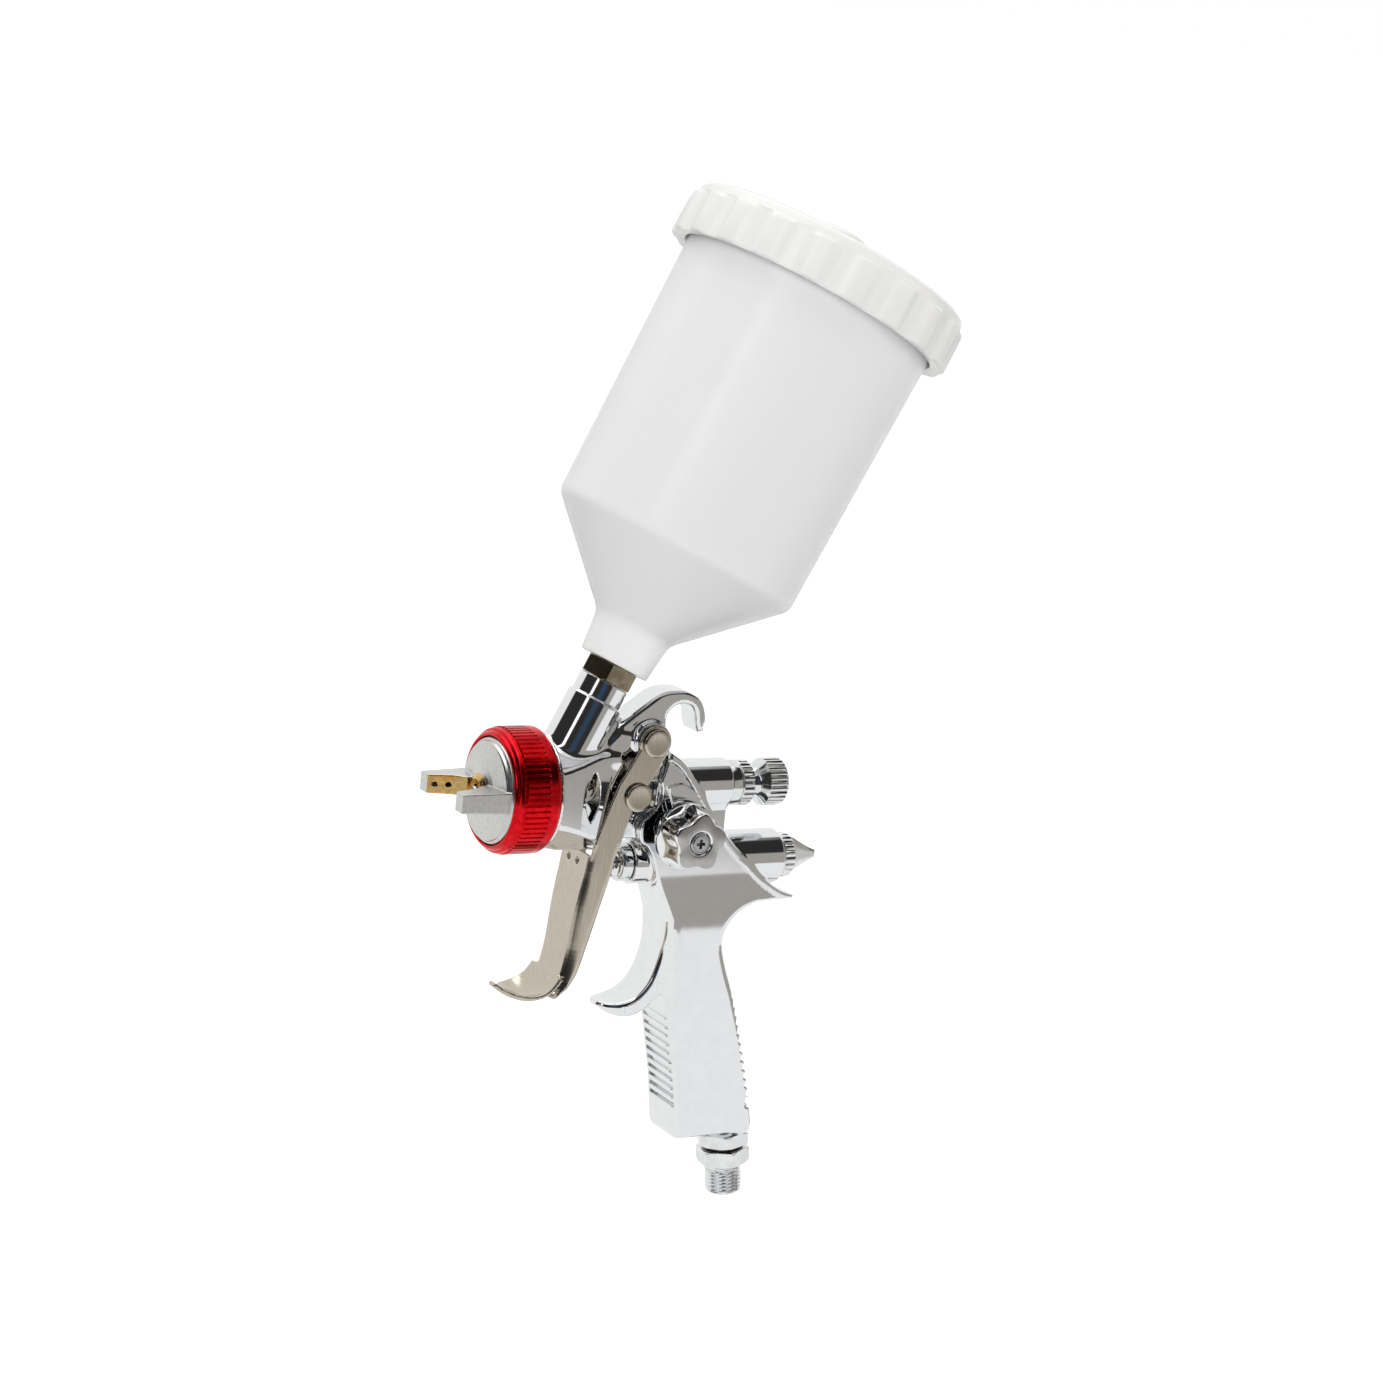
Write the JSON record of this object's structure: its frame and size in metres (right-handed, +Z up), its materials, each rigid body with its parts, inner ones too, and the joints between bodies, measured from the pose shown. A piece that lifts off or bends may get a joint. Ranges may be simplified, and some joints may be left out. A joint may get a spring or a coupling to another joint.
{
  "type": "gravity-feed spray gun",
  "caption": "Gravity-feed HVLP paint spray gun with a translucent screw-lid cup, knurled air cap ring, folded trigger, ribbed grip and threaded air inlet.",
  "frame": {"origin": "centre of the air inlet nipple's end face, where the hose fitting meets the gun", "axes": "-X is the direction of spray and the spray axis is level, +Z is up, +Y is the gun's right-hand side"},
  "size_m": [0.1756, 0.1052, 0.3609],
  "materials": {
    "chrome_body": "polished chrome plate on a cast aluminium body",
    "chrome_knobs": "bright chrome plate on turned parts",
    "satin_nickel": "satin nickel with a warm tint",
    "dark_nickel": "dark warm nickel plate",
    "satin_cap": "satin nickel plate on brass",
    "red_ring": "red anodised and knurled",
    "brass": "turned brass",
    "steel": "bright stainless steel",
    "cup_plastic": "translucent milky polypropylene",
    "white_plastic": "plain moulded nylon or PTFE",
    "black_rubber": "moulded seal rubber"
  },
  "bodies": {
    "gun": {"gun_body": "chrome_body", "air_distributor": "white_plastic", "fluid_nozzle": "brass", "trigger_pivot_pin": "satin_nickel", "pivot_pin_screw": "satin_nickel", "pivot_washer_left": "steel", "pivot_washer_right": "steel", "needle_packing": "white_plastic", "needle_packing_nut": "brass", "needle_spring": "steel", "needle_bush": "chrome_knobs", "air_valve_nut": "chrome_knobs", "air_valve_packing": "white_plastic", "air_valve_seat": "brass", "air_valve_spring": "steel", "air_valve_plug": "chrome_knobs", "fan_valve_bush": "brass", "inlet_collar": "chrome_knobs", "inlet_nipple": "chrome_knobs", "inlet_seal": "black_rubber"},
    "trigger": {"trigger": "satin_nickel", "needle_drive_pin": "satin_nickel", "drive_pin_clip": "steel"},
    "needle": {"needle": "steel", "needle_collar": "brass"},
    "air_valve": {"air_valve_stem": "steel", "air_valve_disc": "brass"},
    "needle_knob": {"needle_knob": "chrome_knobs"},
    "lock_ring": {"needle_lock_ring": "chrome_knobs"},
    "air_knob": {"air_knob": "chrome_knobs", "air_knob_o_ring": "black_rubber"},
    "fan_knob": {"fan_knob": "chrome_knobs", "fan_knob_screw": "dark_nickel", "fan_valve_stem": "steel", "fan_stem_o_ring": "black_rubber"},
    "air_cap_ring": {"air_cap_ring": "red_ring", "cap_slip_washer": "white_plastic"},
    "air_cap": {"air_cap": "satin_cap"},
    "cup": {"cup": "cup_plastic", "cup_adapter": "dark_nickel", "paint_strainer": "white_plastic"},
    "lid": {"cup_lid": "cup_plastic", "lid_seal": "white_plastic", "vent_cap": "cup_plastic"}
  },
  "joints": [
    {"name": "trigger_pull", "type": "hinge", "parent": "gun", "child": "trigger", "pos_m": [-0.0534, 0, 0.1704], "axis": [0, -1, 0], "range_deg": [0, 10], "stiffness_Nm_per_rad": 4, "springref_deg": -17.19, "deforming": ["needle_spring", "air_valve_spring"]},
    {"name": "needle_slide", "type": "slide", "parent": "gun", "child": "needle", "axis": [1, 0, 0], "range_m": [0, 0.0034]},
    {"name": "air_valve_slide", "type": "slide", "parent": "gun", "child": "air_valve", "axis": [1, 0, 0], "range_m": [0, 0.008]},
    {"name": "needle_knob_turn", "type": "hinge", "parent": "gun", "child": "needle_knob", "pos_m": [-0.01, 0, 0.1526], "axis": [1, 0, 0], "range_deg": [0, 900]},
    {"name": "lock_ring_turn", "type": "hinge", "parent": "gun", "child": "lock_ring", "pos_m": [-0.012, 0, 0.1526], "axis": [1, 0, 0], "range_deg": [0, 540]},
    {"name": "air_knob_turn", "type": "hinge", "parent": "gun", "child": "air_knob", "pos_m": [0.01, 0, 0.1254], "axis": [1, 0, 0], "range_deg": [0, 270]},
    {"name": "fan_knob_turn", "type": "hinge", "parent": "gun", "child": "fan_knob", "pos_m": [-0.0402, 0, 0.1382], "axis": [0, -1, 0], "range_deg": [0, 630]},
    {"name": "ring_turn", "type": "hinge", "parent": "gun", "child": "air_cap_ring", "pos_m": [-0.1, 0, 0.1526], "axis": [1, 0, 0], "range_deg": [0, 1260]},
    {"name": "air_cap_turn", "type": "hinge", "parent": "gun", "child": "air_cap", "pos_m": [-0.11, 0, 0.1526], "axis": [1, 0, 0], "range_deg": [-90, 90]},
    {"name": "cup_turn", "type": "hinge", "parent": "gun", "child": "cup", "pos_m": [-0.088, 0, 0.1526], "axis": [0.4368, 0, 0.8996], "range_deg": [0, 1350]},
    {"name": "lid_turn", "type": "hinge", "parent": "cup", "child": "lid", "pos_m": [-0.088, 0, 0.1526], "axis": [0.4368, 0, 0.8996], "range_deg": [0, 400]}
  ],
  "couplings": [
    {"joint": "needle_slide", "follows": "trigger_pull", "m_per_rad": 0.0189},
    {"joint": "air_valve_slide", "follows": "trigger_pull", "m_per_rad": 0.045}
  ]
}
